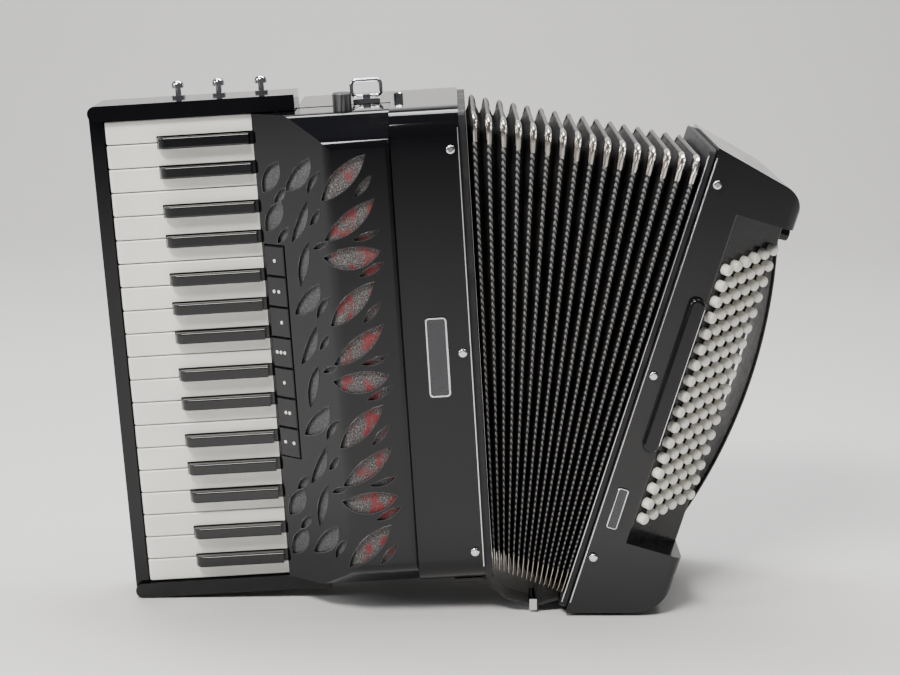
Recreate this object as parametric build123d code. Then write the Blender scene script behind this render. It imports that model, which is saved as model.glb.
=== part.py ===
from build123d import *
import os
from math import atan2, cos, degrees, radians, sin, tan

os.makedirs("parts", exist_ok=True)

# Piano accordion standing on the floor with its bellows fanned open.
# Millimetres, +Z up, +X from the keyboard towards the bass side, -Y is the front.
# The treble side and the bass side are each modelled upright in their own frame and then leaned.

# ---- driving dimensions -------------------------------------------------------------------------
TREBLE_LEAN = 3.5  # degrees, keyboard side leans away from the bellows
BASS_LEAN = 16.65  # degrees, bass side leans the other way
BASS_CORNER_X = 360.0  # inner bottom corner of the bass side, from the treble's bottom corner
FOOT_HEIGHT = 3.0

KEY_PITCH = 19.5
WHITE_KEYS = 20
KEY_GAP = 0.9
RAIL = 13.0  # end rails of the keyboard
KEYBOARD_LENGTH = WHITE_KEYS * KEY_PITCH + 2 * RAIL
STRIP = 11.0  # strip outside the free ends of the keys
KEY_THICKNESS = 12.0
WHITE_FRONT_X = STRIP + 0.8
BLACK_FRONT_X = 54.0
BLACK_BACK_X = 127.5
BLACK_WIDTH = 9.5
BLACK_CLEARANCE = 0.8
BLACK_RISE = 8.5
KEY_BACK_X = 158.0
AXLE_X, AXLE_Y, AXLE_R = 150.0, 8.0, 1.6
RUNNING_GAP = 0.05
BED_FRONT_Y, BED_BACK_Y = 17.5, 45.0
BED_END_X = 166.0
# white keys, counted from the low end, that have a black key after them, and its offset from the joint
BLACK_AFTER = {0: 0.0, 1: 4.6, 3: -2.6, 4: 2.6, 6: -4.6, 7: 0.0, 8: 4.6}
BLACK_REPEAT = {10: -2.6, 11: 2.6, 13: -4.6, 14: 0.0, 15: 4.6, 17: -2.6, 18: 2.6}
LEVER_Y = (5.0, 7.0)
PALLET_Y = (14.0, 16.7)
WHITE_PALLET_X, BLACK_PALLET_X, PALLET_LENGTH, PALLET_HALF = 180.0, 207.0, 22.0, 4.9

CASING_X = (166.0, 296.0)
CASING_Y = (-52.0, 115.0)
CASING_Z = (13.0, 403.0)
CASING_WALL = 5.0
FRONT_ROUND = 22.0  # the rounded ends of the front panel
SOUNDBOARD_Y = 17.0
FRONT_PANEL_X = 242.0
BACK_PANEL_X, BACK_PANEL_Z, BACK_PANEL_RISE = (184.0, 280.0), (86.0, 385.0), 1.5

COVER_X = (131.0, 241.7)
COVER_RIDGE_X = 190.0
COVER_FRONT_Y = -56.0
COVER_LIP_Y = (-6.0, -1.5)
COVER_WALL = 2.5
COVER_Z = (13.2, 402.8)
LEAF_PITCH = 33.6
LEAF_TOP_Z = 354.4
LEAF_ROWS = 10

TAB_COUNT = 7
TAB_PITCH = 25.4
TAB_TOP_Z = 297.3
TAB_ALONG = (3.5, 25.0)
TAB_AXIS = (14.25, -4.5)  # along the slope, below its surface
REGISTER_ROD_R = 1.2

RING_SIZE, RING_WIRE = (24.0, 13.0), 1.6

CHIN_X = (70.0, 103.0, 137.5)
CHIN_Y = 28.0
CHIN_STEM_R = 2.5

BELLOWS_FRAME = 6.0
BELLOWS_Y = (-46.0, 109.0)
BELLOWS_Z = (20.0, 398.0)
BELLOWS_FOLDS = 16
FOLD_DEPTH = 14.0
STRAP_THICKNESS = 2.4
CLASP_STRAP_Y = (-36.0, -12.0)
BELLOWS_SKIN = 2.5
BASS_DROP = 7.0  # the bass side is this much longer than the treble casing at each end

BASS_HEIGHT = 402.0
BASS_DEPTH = 78.0
BASS_Y = (-46.0, 112.0)
BASS_WALL = 5.0
BASS_TOP_DROP = 17.7
BOARD_U = 29.5
BOARD_Z = (72.0, 356.0)
BOARD_THICKNESS = 4.0
BOARD_SIZE = (66.4, BOARD_Z[1] - BOARD_Z[0] - 1)
BUTTON_ROWS, BUTTON_COLUMNS = 17, 6
BUTTON_PITCH = 13.5
BUTTON_COLUMN_PITCH = 10.6
BUTTON_STAGGER = 4.2
BUTTON_R = 4.4
BUTTON_TOP_Z = 332.0
STRAP_Y = (25.0, 85.0)
STRAP_Z = (74.0, 354.0)
STRAP_BULGE = 22.0
PIN_R = 3.7
PIN_Z = (41.0, 208.0, 371.0)
BASS_PIN_Z = (53.0, 213.0, 374.0)


# ---- helpers ------------------------------------------------------------------------------------
def box(x, y, z):
    size = (x[1] - x[0], y[1] - y[0], z[1] - z[0])
    return Pos((x[0] + x[1]) / 2, (y[0] + y[1]) / 2, (z[0] + z[1]) / 2) * Box(*size)


def outline(points, radii=None):
    """A flat face through the points, with a radius at the corners named in radii."""
    face = Polygon(*points, align=None)
    for index, radius in (radii or {}).items():
        corner = face.vertices().sort_by_distance(points[index])[0]
        face = fillet(corner, radius)
    return face


def prism_z(face, z0, z1):
    return Pos(0, 0, z0) * extrude(face, amount=z1 - z0, dir=(0, 0, 1))


def prism_y(face, y0, y1):
    """Extrudes an outline drawn in X and Z."""
    return extrude(Plane.XZ.offset(-y0) * face, amount=y1 - y0, dir=(0, 1, 0))


def prism_x(face, x0, x1):
    """Extrudes an outline drawn in Y and Z."""
    return extrude(Plane.YZ.offset(x0) * face, amount=x1 - x0, dir=(1, 0, 0))


def rod_z(x, y, z0, z1, radius):
    return Pos(x, y, (z0 + z1) / 2) * Cylinder(radius, z1 - z0)


def rod_y(x, z, y0, y1, radius):
    return Pos(x, (y0 + y1) / 2, z) * Rot(90, 0, 0) * Cylinder(radius, y1 - y0)


def domed_pin(x, z, y, toward_front, radius=PIN_R, height=3.0):
    """A round-headed pin on a face at y."""
    side = -1 if toward_front else 1
    pin = rod_y(x, z, min(y, y + side * height), max(y, y + side * height), radius)
    outer = pin.edges().filter_by(GeomType.CIRCLE).sort_by(Axis.Y)[0 if toward_front else -1]
    return fillet(outer, height * 0.6)


def leaf(tip_a, tip_b, bulge_a, bulge_b):
    """A leaf between two tips, made of two arcs."""
    return make_face([SagittaArc(tip_a, tip_b, bulge_a), SagittaArc(tip_b, tip_a, bulge_b)])


# ---- keyboard -----------------------------------------------------------------------------------
def white_top(index):
    return KEYBOARD_LENGTH - RAIL - index * KEY_PITCH


black_keys = {**BLACK_AFTER, **BLACK_REPEAT}


def black_centre(after):
    return white_top(after + 1) - black_keys[after]


def lever(z, pallet_x):
    """The arm behind the hinge and the pallet that it lifts off the soundboard."""
    arm = box((KEY_BACK_X - 3, pallet_x + PALLET_LENGTH / 2 + 2), LEVER_Y, (z - 1.5, z + 1.5))
    middle = pallet_x + PALLET_LENGTH / 2
    post = box((middle - 2, middle + 2), (LEVER_Y[0], PALLET_Y[1] - 1), (z - 1.5, z + 1.5))
    pallet = box((pallet_x, pallet_x + PALLET_LENGTH), PALLET_Y, (z - PALLET_HALF, z + PALLET_HALF))
    return arm + post + pallet


def rear_span(index):
    """The width of a white key behind the black keys."""
    top = white_top(index) - KEY_GAP / 2
    bottom = white_top(index + 1) + KEY_GAP / 2
    half = BLACK_WIDTH / 2 + BLACK_CLEARANCE
    if index - 1 in black_keys:
        top = min(top, black_centre(index - 1) - half)
    if index in black_keys:
        bottom = max(bottom, black_centre(index) + half)
    return bottom, top


def key_bore(z):
    return rod_z(AXLE_X, AXLE_Y, z - KEY_PITCH, z + KEY_PITCH, AXLE_R + RUNNING_GAP)


def white_key(index):
    top = white_top(index) - KEY_GAP / 2
    bottom = white_top(index + 1) + KEY_GAP / 2
    middle = (top + bottom) / 2
    key = box((WHITE_FRONT_X, KEY_BACK_X), (0, KEY_THICKNESS), (bottom, top))
    nose = key.edges().filter_by(Axis.Z).sort_by_distance((WHITE_FRONT_X, 0, middle))[0]
    key = fillet(nose, 3.5)
    sides = key.faces().filter_by(Axis.Z)
    long_edges = [face.edges().filter_by(Axis.X).sort_by(Axis.Y)[0] for face in sides]
    key = fillet(long_edges, 1.2)
    for after in (index - 1, index):
        if after in black_keys:
            half = BLACK_WIDTH / 2 + BLACK_CLEARANCE
            centre = black_centre(after)
            key -= box((BLACK_FRONT_X - 1, KEY_BACK_X + 1), (-1, KEY_THICKNESS + 1), (centre - half, centre + half))
    key += lever(sum(rear_span(index)) / 2, WHITE_PALLET_X)
    return key - key_bore(middle)


def black_key(after):
    z = black_centre(after)
    span = (z - BLACK_WIDTH / 2, z + BLACK_WIDTH / 2)
    key = box((BLACK_FRONT_X, BLACK_BACK_X), (-BLACK_RISE, KEY_THICKNESS), span)
    nose = key.edges().filter_by(Axis.Z).sort_by_distance((BLACK_FRONT_X, -BLACK_RISE, z))[0]
    key = fillet(nose, 6)
    sides = key.faces().filter_by(Axis.Z)
    long_edges = [face.edges().filter_by(Axis.X).sort_by(Axis.Y)[0] for face in sides]
    key = fillet(long_edges, 1.6)
    key += box((BLACK_BACK_X, KEY_BACK_X), (0.2, KEY_THICKNESS), span)
    key += lever(z, BLACK_PALLET_X)
    return key - key_bore(z)


def keyboard_bed():
    length = KEYBOARD_LENGTH
    bed = box((0, BED_END_X), (BED_FRONT_Y, BED_BACK_Y), (0, length))
    bed += box((0, STRIP), (1, BED_BACK_Y), (0, length))
    bed += box((0, BED_END_X), (-4, BED_BACK_Y), (0, RAIL - 0.6))
    bed += box((0, BED_END_X), (-4, BED_BACK_Y), (length - RAIL + 0.6, length))
    corners = bed.edges().filter_by(Axis.Y).group_by(Axis.X)[0]
    bed = fillet(corners, 6)
    bed -= rod_z(AXLE_X, AXLE_Y, 5, length - 5, AXLE_R + RUNNING_GAP)
    for x in CHIN_X:
        bed -= rod_z(x, CHIN_Y, length - 12, length + 1, CHIN_STEM_R + 0.1)
    return bed


# ---- grille cover -------------------------------------------------------------------------------
SLOPE_X = COVER_RIDGE_X - COVER_X[0]
SLOPE_Y = COVER_FRONT_Y - COVER_LIP_Y[0]
SLOPE_TURN = degrees(atan2(SLOPE_Y, SLOPE_X))
slope = Plane(
    origin=(COVER_X[0], COVER_LIP_Y[0], 0),
    x_dir=(SLOPE_X, SLOPE_Y, 0),
    z_dir=(SLOPE_Y, -SLOPE_X, 0),
)


def on_slope(along, up, z):
    """A box placed by its distance along the slope, its height above it and its Z."""
    size = (along[1] - along[0], z[1] - z[0], up[1] - up[0])
    centre = Pos((along[0] + along[1]) / 2, (z[0] + z[1]) / 2, (up[0] + up[1]) / 2)
    return slope * centre * Box(*size)


def slope_point(along, up):
    turn = radians(SLOPE_TURN)
    x = COVER_X[0] + along * cos(turn) + up * sin(turn)
    y = COVER_LIP_Y[0] + along * sin(turn) - up * cos(turn)
    return x, y


def cover_block(inset, open_y):
    """The cover's outer shape, or its inside when inset by the wall."""
    lip_x = COVER_X[0] + inset
    side_x = COVER_X[1] - inset
    front_y = COVER_FRONT_Y + inset
    turn = radians(-SLOPE_TURN)
    shift = inset / cos(turn)
    lip_y = COVER_LIP_Y[0] - inset * tan(turn) + shift
    ridge_x = COVER_RIDGE_X + (shift - inset) / tan(turn)
    profile = outline(
        [
            (lip_x, open_y[0]),
            (lip_x, lip_y),
            (ridge_x, front_y),
            (side_x, front_y),
            (side_x, open_y[1]),
            (KEY_BACK_X + 4, open_y[1]),
            (KEY_BACK_X + 4, open_y[0]),
        ],
        {2: 14 - inset, 3: 4 - inset},
    )
    low, high = COVER_Z[0] + inset, COVER_Z[1] - inset
    ends = outline(
        [(60, low), (-32 + inset, low), (front_y, 31 + inset), (front_y, 382 - inset), (-30 + inset, high), (60, high)],
        {1: 8 - inset, 2: 12 - inset, 3: 12 - inset, 4: 10 - inset},
    )
    return prism_z(profile, low - 1, high + 1) & prism_x(ends, lip_x - 1, side_x + 1)


def leaf_openings():
    """Leaf-shaped sound openings: three alternating rows, each with small leaves beside it."""
    leaves = []
    for row in range(LEAF_ROWS):
        z = LEAF_TOP_Z - row * LEAF_PITCH
        kind = row % 3
        if kind == 0:
            leaves.append(leaf((185, z - 18), (222, z + 17), 8, 8))
            leaves.append(leaf((211, z - 16), (226, z + 1), 2.5, 3.5))
            leaves.append(leaf((174, z - 13), (186, z + 6), 4, 1.5))
            leaves.append(leaf((155, z - 12), (178, z + 16), 4, 9))
        if kind == 1:
            leaves.append(leaf((185, z - 16), (227, z + 16), 6, 9))
            leaves.append(leaf((207, z - 16), (229, z - 9), 1.5, 4))
            leaves.append(leaf((174, z - 5), (183, z + 9), 2, 3))
            leaves.append(leaf((157, z - 20), (173, z + 15), 2, 6))
        if kind == 2:
            leaves.append(leaf((183, z + 4), (229, z + 8), 6, 12))
            leaves.append(leaf((210, z - 12), (231, z - 1), 2.5, 4))
            leaves.append(leaf((175, z + 10), (188, z + 17), 2, 2.5))
            leaves.append(leaf((162, z - 22), (172, z + 16), 5, 3))
    for z in (354, 322, 82, 48):
        leaves.append(leaf((136, z - 14), (151, z + 12), 6, 7))
    for z in (338, 306, 99, 65):
        leaves.append(leaf((145, z - 7), (156, z + 7), 3, 3))
    return leaves


def grille_cover():
    cover = cover_block(0, (COVER_LIP_Y[1], 12)) - cover_block(COVER_WALL, (60, 61))
    tools = [prism_y(face, COVER_FRONT_Y - 4, -8) for face in leaf_openings()]
    cover -= tools
    low = TAB_TOP_Z - TAB_COUNT * TAB_PITCH - 0.6
    high = TAB_TOP_Z + 0.6
    cover -= on_slope((TAB_ALONG[0] - 1, TAB_ALONG[1] + 1), (-8, 4), (low, high))
    for z in ((low - 7, low - 1.5), (high + 1.5, high + 7)):
        cover += on_slope((10, 18), (-8, -COVER_WALL + 0.3), z)
    rod_x, rod_y_pos = slope_point(*TAB_AXIS)
    cover -= rod_z(rod_x, rod_y_pos, low - 8, high + 8, REGISTER_ROD_R + RUNNING_GAP)
    return cover


def grille_mesh():
    """Cloth-covered mesh behind the flat front and behind the slope."""
    behind = (COVER_FRONT_Y + COVER_WALL + 0.1, COVER_FRONT_Y + COVER_WALL + 0.7)
    below = (-COVER_WALL - 0.7, -COVER_WALL - 0.1)
    return [
        box((196, 238.5), behind, (40, 373)),
        on_slope((28, 64), below, (40, 373)),
        on_slope((4, 27.5), below, (306, 373)),
        on_slope((4, 27.5), below, (40, 110)),
    ]


def register_tab(number):
    high = TAB_TOP_Z - (number - 1) * TAB_PITCH - 0.3
    low = high - TAB_PITCH + 0.6
    middle = (low + high) / 2
    tab = on_slope(TAB_ALONG, (-1.8, 1.2), (low, high))
    upper = tab.faces().sort_by_distance((*slope_point(14, 3), middle))[0]
    tab = fillet(upper.edges(), 1.0)
    tab += on_slope((TAB_AXIS[0] - 2.2, TAB_AXIS[0] + 2.2), (TAB_AXIS[1], -1.5), (middle - 9, middle + 9))
    x, y = slope_point(*TAB_AXIS)
    tab += rod_z(x, y, middle - 9, middle + 9, 2.4)
    return tab - rod_z(x, y, low - 1, high + 1, REGISTER_ROD_R + RUNNING_GAP)


def rods():
    """The axle that all the keys turn on and the one that the register tabs turn on."""
    low = TAB_TOP_Z - TAB_COUNT * TAB_PITCH - 7
    x, y = slope_point(*TAB_AXIS)
    return [
        rod_z(AXLE_X, AXLE_Y, 5.2, KEYBOARD_LENGTH - 5.2, AXLE_R),
        rod_z(x, y, low, TAB_TOP_Z + 7, REGISTER_ROD_R),
    ]


# ---- treble casing ------------------------------------------------------------------------------
def casing_block(inset, open_x):
    left, back = CASING_X[0] + inset, CASING_Y[1] - inset
    front, panel = CASING_Y[0] + inset, FRONT_PANEL_X + inset
    board = SOUNDBOARD_Y + inset
    profile = outline(
        [(left, board), (panel, board), (panel, front), (open_x, front), (open_x, back), (left, back)],
        {5: 12 - inset},
    )
    low, high = CASING_Z[0] + inset, CASING_Z[1] - inset
    ends = outline(
        [(front, low), (back, low), (back, high), (front, high)],
        {0: FRONT_ROUND - inset, 1: 12 - inset, 2: 12 - inset, 3: FRONT_ROUND - inset},
    )
    return prism_z(profile, low - 1, high + 1) & prism_x(ends, left - 1, open_x + 1)


def treble_casing():
    casing = casing_block(0, CASING_X[1]) - casing_block(CASING_WALL, CASING_X[1] + 10)
    holes = []
    for index in range(WHITE_KEYS):
        z = sum(rear_span(index)) / 2
        x = WHITE_PALLET_X + 3
        holes.append(box((x, x + PALLET_LENGTH - 6), (SOUNDBOARD_Y - 1, SOUNDBOARD_Y + 7), (z - 3.5, z + 3.5)))
    for after in black_keys:
        z = black_centre(after)
        x = BLACK_PALLET_X + 3
        holes.append(box((x, x + PALLET_LENGTH - 6), (SOUNDBOARD_Y - 1, SOUNDBOARD_Y + 7), (z - 3.5, z + 3.5)))
    back = CASING_Y[1]
    panel = box(BACK_PANEL_X, (back - 1, back + BACK_PANEL_RISE), BACK_PANEL_Z)
    panel = fillet(panel.edges().filter_by(Axis.Y), 8)
    return casing + panel - holes


def reed_blocks(x_starts, width, y, z):
    """Upright wooden blocks, each with a row of reed plates let into both sides."""
    blocks = []
    for x in x_starts:
        block = box((x, x + width), y, z)
        blocks.append(block)
        plates = int((z[1] - z[0]) // 17)
        for number in range(plates):
            z0 = z[0] + 2 + number * 17
            blocks.append(box((x + width, x + width + 1.2), (y[0] + 4, y[1] - 4), (z0, z0 + 15)))
    return blocks


def strap_ring(x, y, z, turn):
    """A strap bracket: a plate, a lug and the wide ring that the shoulder strap buckles to."""
    route = RectangleRounded(RING_SIZE[0], RING_SIZE[1], 4).wire()
    route = Pos(0, 0, 4 + RING_SIZE[1] / 2) * Rot(90, 0, 0) * route
    start = Plane(origin=route @ 0, z_dir=route % 0)
    ring = sweep(start * Circle(RING_WIRE), path=route)
    plate = box((-11, 11), (-7, 7), (0, 2))
    plate += box((-3, 3), (-4, 4), (2, 5.5)) - Pos(0, 0, 4) * Rot(0, 90, 0) * Cylinder(RING_WIRE + 0.15, 20)
    place = Pos(x, y, z) * turn
    return [place * plate, place * ring]


def treble_fittings():
    pieces = []
    for z in PIN_Z:
        pieces.append(domed_pin(288.5, z, CASING_Y[0], True))
        pieces.append(domed_pin(288.5, z, CASING_Y[1], False))
    for x in CHIN_X:
        collar = rod_z(x, CHIN_Y, KEYBOARD_LENGTH, KEYBOARD_LENGTH + 2, 5.5)
        pieces.append(collar - rod_z(x, CHIN_Y, KEYBOARD_LENGTH - 1, KEYBOARD_LENGTH + 3, CHIN_STEM_R + 0.1))
    knob = rod_z(205, -18, COVER_Z[1], COVER_Z[1] + 14, 7.5)
    pieces.append(chamfer(knob.edges().filter_by(GeomType.CIRCLE).sort_by(Axis.Z)[-1], 1.2))
    pieces += strap_ring(222, 40, CASING_Z[1], Rot(0, 0, 0))
    pieces += strap_ring(222, CASING_Y[1], 60, Rot(-90, 0, 0))
    screw = rod_z(248, 35, CASING_Z[1], CASING_Z[1] + 6, 4)
    pieces.append(chamfer(screw.edges().filter_by(GeomType.CIRCLE).sort_by(Axis.Z)[-1], 1))
    badge = outline([(260, 173), (277, 173), (277, 238), (260, 238)], {corner: 3 for corner in range(4)})
    pieces.append(prism_y(badge, CASING_Y[0] - 1.2, CASING_Y[0]))
    return pieces


def chin_switch(x):
    stem = rod_z(x, CHIN_Y, KEYBOARD_LENGTH - 6, KEYBOARD_LENGTH + 9, CHIN_STEM_R)
    head = rod_z(x, CHIN_Y, KEYBOARD_LENGTH + 8, KEYBOARD_LENGTH + 14, 5)
    head = fillet(head.edges().filter_by(GeomType.CIRCLE).sort_by(Axis.Z)[-1], 4)
    return stem + head


# ---- bass side ----------------------------------------------------------------------------------
FLOOR_SLOPE = tan(radians(BASS_LEAN))


def board_cutter(inset):
    """The front outer corner, cut away at 45 degrees between the two end blocks."""
    low, high = BOARD_Z[0] - inset, BOARD_Z[1] + inset
    near = BOARD_U - inset * 1.414
    front = BASS_Y[0]
    reach = BASS_DEPTH - near + 20
    corner = outline([(near - 20, front - 20), (near + reach, front - 20), (near + reach, front + reach)])
    return prism_z(corner, low, high)


def bass_block(inset, inner_x):
    top = BASS_HEIGHT - inset
    outer = BASS_DEPTH - inset
    base = inset / cos(radians(BASS_LEAN))
    side = outline(
        [
            (inner_x, base + inner_x * FLOOR_SLOPE),
            (outer, base + outer * FLOOR_SLOPE),
            (outer, top - BASS_TOP_DROP),
            (inner_x, top),
        ],
        {1: 36 - inset, 2: 22 - inset},
    )
    front, back = BASS_Y[0] + inset, BASS_Y[1] - inset
    plan = outline(
        [(inner_x, front), (outer, front), (outer, back), (inner_x, back)],
        {1: 8 - inset, 2: 8 - inset},
    )
    block = prism_y(side, front - 1, back + 1) & prism_z(plan, -60, BASS_HEIGHT + 60)
    return block - board_cutter(inset)


def bass_casing():
    casing = bass_block(0, 0) - bass_block(BASS_WALL, -30)
    casing -= button_plane(-BOARD_THICKNESS / 2) * Box(*BOARD_SIZE, BOARD_THICKNESS)
    casing -= button_plane(0) * Box(BOARD_SIZE[0] - 4, BOARD_SIZE[1] - 20, 30)
    return casing - air_bore(0.15)


def button_plane(depth):
    """Frame on the slanted face: X runs outwards along it, Y runs up, Z points out of it."""
    half = (BASS_DEPTH - BOARD_U) / 2
    middle = (BOARD_Z[0] + BOARD_Z[1]) / 2
    frame = Plane(origin=(BOARD_U + half, BASS_Y[0] + half, middle), x_dir=(1, 1, 0), z_dir=(1, -1, 0))
    return frame.offset(depth)


def button_spots():
    middle = (BOARD_Z[0] + BOARD_Z[1]) / 2
    for column in range(BUTTON_COLUMNS):
        across = (column - (BUTTON_COLUMNS - 1) / 2) * BUTTON_COLUMN_PITCH
        top = BUTTON_TOP_Z - (BUTTON_COLUMNS - 1 - column) * BUTTON_STAGGER - middle
        for row in range(BUTTON_ROWS):
            yield across, top - row * BUTTON_PITCH


def bass_button_board():
    frame = button_plane(-BOARD_THICKNESS / 2)
    board = frame * Box(*BOARD_SIZE, BOARD_THICKNESS)
    holes = [frame * Pos(x, y, 0) * Cylinder(BUTTON_R + 0.5, 3 * BOARD_THICKNESS) for x, y in button_spots()]
    return board - holes


def bass_buttons():
    frame = button_plane(0)
    buttons = []
    for x, y in button_spots():
        button = Pos(x, y, -0.5) * Cylinder(BUTTON_R, 15)
        button = fillet(button.edges().filter_by(GeomType.CIRCLE).sort_by(Axis.Z)[-1], 2.4)
        buttons.append(frame * button)
    return buttons


AIR_Y, AIR_Z = 13.5, 345.0


def air_bore(gap):
    return Pos(BASS_DEPTH, AIR_Y, AIR_Z) * Rot(0, 90, 0) * Cylinder(5.5 + gap, 30)


def air_button():
    cap = Pos(BASS_DEPTH + 1, AIR_Y, AIR_Z) * Rot(0, 90, 0) * Cylinder(5.5, 16)
    return fillet(cap.edges().filter_by(GeomType.CIRCLE).sort_by(Axis.X)[-1], 2)


def bass_strap():
    """The leather hand strap, bowed out from the end face and fixed at both ends."""
    x, (low, high) = BASS_DEPTH + 0.4, STRAP_Z
    middle = (low + high) / 2
    outer = ThreePointArc((x + 3.5, low), (x + STRAP_BULGE, middle), (x + 3.5, high))
    inner = ThreePointArc((x, high), (x + STRAP_BULGE - 3.5, middle), (x, low))
    ends = [Line((x, low), (x + 3.5, low)), Line((x + 3.5, high), (x, high))]
    return prism_y(make_face([outer, inner, *ends]), *STRAP_Y)


def finger_rest():
    """A low bar with rounded ends beside the buttons."""
    bar = prism_y(outline([(16, 152), (29, 152), (29, 284), (16, 284)], {c: 6 for c in range(4)}), -53, BASS_Y[0])
    return fillet(bar.faces().sort_by(Axis.Y)[0].edges(), 3)


def bass_fittings():
    pieces = []
    for z in BASS_PIN_Z:
        pieces.append(domed_pin(7.5, z, BASS_Y[0], True))
        pieces.append(domed_pin(7.5, z, BASS_Y[1], False))
    for x in (8, 48):
        for y in (-32, 98):
            foot = Pos(x, y, x * FLOOR_SLOPE) * Rot(0, -BASS_LEAN, 0)
            stud = Pos(0, 0, -FOOT_HEIGHT / 2) * Cylinder(5, FOOT_HEIGHT)
            pieces.append(foot * fillet(stud.edges().sort_by(Axis.Z)[0], 1.5))
    for z0, z1 in ((STRAP_Z[0] - 12, STRAP_Z[0] - 0.3), (STRAP_Z[1] + 0.3, STRAP_Z[1] + 9)):
        anchor = box((BASS_DEPTH, BASS_DEPTH + 5), (STRAP_Y[0] + 8, STRAP_Y[1] - 8), (z0, z1))
        outer_edges = anchor.faces().sort_by(Axis.X)[-1].edges()
        pieces.append(fillet(outer_edges, 1.8))
    label = outline([(9.5, 81), (18, 81), (18, 116), (9.5, 116)], {corner: 2 for corner in range(4)})
    pieces.append(prism_y(label, BASS_Y[0] - 1, BASS_Y[0]))
    pieces.append(finger_rest())
    return pieces


# ---- placing the two sides ----------------------------------------------------------------------
treble_place = Rot(0, -TREBLE_LEAN, 0)
bass_place = Pos(BASS_CORNER_X, 0, FOOT_HEIGHT) * Rot(0, BASS_LEAN, 0)


def treble_point(x, z):
    turn = radians(TREBLE_LEAN)
    return x * cos(turn) - z * sin(turn), x * sin(turn) + z * cos(turn)


def bass_point(x, z):
    turn = radians(BASS_LEAN)
    return BASS_CORNER_X + x * cos(turn) + z * sin(turn), FOOT_HEIGHT - x * sin(turn) + z * cos(turn)


# ---- bellows ------------------------------------------------------------------------------------
def bellows_section(step, inset):
    """One rectangle of the folded tube, on its own plane between the two end frames."""
    steps = 2 * BELLOWS_FOLDS
    part = step / steps
    drop = FOLD_DEPTH if step % 2 == 0 else 0
    low = BELLOWS_Z[0] + drop + inset
    high = BELLOWS_Z[1] - drop - inset
    front = BELLOWS_Y[0] + drop + inset
    back = BELLOWS_Y[1] - drop - inset
    corners = []
    for z in (low, high):
        left = treble_point(CASING_X[1] + BELLOWS_FRAME + 0.2, z)
        right = bass_point(-BELLOWS_FRAME - 0.2, z - BASS_DROP)
        corners.append((left[0] + part * (right[0] - left[0]), left[1] + part * (right[1] - left[1])))
    (low_x, low_z), (high_x, high_z) = corners
    points = [(low_x, front, low_z), (high_x, front, high_z), (high_x, back, high_z), (low_x, back, low_z)]
    return Wire(Polyline(*points, close=True).edges())


def bellows_end_frame(x, y, z):
    """A wooden frame that closes the gap between a casing's walls and the folds."""
    ring = box((x, x + BELLOWS_FRAME), y, z)
    return ring - box((x - 1, x + BELLOWS_FRAME + 1), (y[0] + 18, y[1] - 18), (z[0] + 20, z[1] - 20))


def bellows():
    """The folded tube and the wooden frame at each end of it."""
    outer = Solid.make_loft([bellows_section(step, 0) for step in range(2 * BELLOWS_FOLDS + 1)], True)
    inner = Solid.make_loft([bellows_section(step, BELLOWS_SKIN) for step in range(2 * BELLOWS_FOLDS + 1)], True)
    return [
        treble_place * bellows_end_frame(CASING_X[1], (-49.5, 112.5), (15.5, 400.5)),
        outer - inner,
        bass_place * bellows_end_frame(-BELLOWS_FRAME, (-43.5, 109.5), (3, 399.5)),
    ]


def bellows_strap():
    """The short leather strap that holds the bellows shut at the bottom, with its clasp."""
    start = treble_point(CASING_X[1] - 26, CASING_Z[0] - 1.6)
    corner = treble_point(CASING_X[1] - 2, CASING_Z[0] - 1.6)
    end = bass_point(-7.4, 7)
    route = [start, corner, (corner[0] + 20, 11), (end[0] - 20, 6), end]
    path = FilletPolyline(*route, radius=[10, 20, 16])
    strap = prism_y(trace(path, STRAP_THICKNESS), *CLASP_STRAP_Y)
    clasp_x = end[0] - 24
    outer = box((clasp_x, clasp_x + 6), (CLASP_STRAP_Y[0] - 1.5, CLASP_STRAP_Y[1] + 1.5), (2.5, 12))
    return [strap, outer - box((clasp_x - 1, clasp_x + 7), CLASP_STRAP_Y, (3.6, 10.9))]


# ---- writing the parts --------------------------------------------------------------------------
def solids_of(shape):
    if isinstance(shape, (list, tuple)):
        return [solid for piece in shape for solid in solids_of(piece)]
    return list(shape.solids())


treble_nodes = {"treble_casing": treble_casing(), "keyboard_bed": keyboard_bed(), "axle_rods": rods()}
treble_nodes["grille_cover"] = grille_cover()
treble_nodes["grille_mesh"] = grille_mesh()
treble_nodes["treble_reed_blocks"] = reed_blocks((178, 200, 222, 244), 14, (SOUNDBOARD_Y + 5.3, 84), (30, 386))
treble_nodes["treble_fittings"] = treble_fittings()
for number in range(WHITE_KEYS):
    treble_nodes[f"white_key_{number + 1:02d}"] = white_key(number)
for number, after in enumerate(sorted(black_keys)):
    treble_nodes[f"black_key_{number + 1:02d}"] = black_key(after)
for number in range(1, TAB_COUNT + 1):
    treble_nodes[f"register_tab_{number}"] = register_tab(number)
for number, x in enumerate(CHIN_X):
    treble_nodes[f"chin_switch_{number + 1}"] = chin_switch(x)

bass_nodes = {
    "bass_casing": bass_casing(),
    "bass_button_board": bass_button_board(),
    "bass_buttons": bass_buttons(),
    "bass_strap": bass_strap(),
    "bass_reed_blocks": reed_blocks((8,), 30, (15, 29), (50, 360)) + reed_blocks((8,), 30, (45, 59), (50, 360))
    + reed_blocks((8,), 30, (75, 89), (50, 360)),
    "bass_fittings": bass_fittings(),
    "air_button": air_button(),
}

placed = {name: [treble_place * solid for solid in solids_of(shape)] for name, shape in treble_nodes.items()}
placed.update({name: [bass_place * solid for solid in solids_of(shape)] for name, shape in bass_nodes.items()})
placed["bellows"] = solids_of(bellows())
placed["bellows_strap"] = solids_of(bellows_strap())

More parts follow.
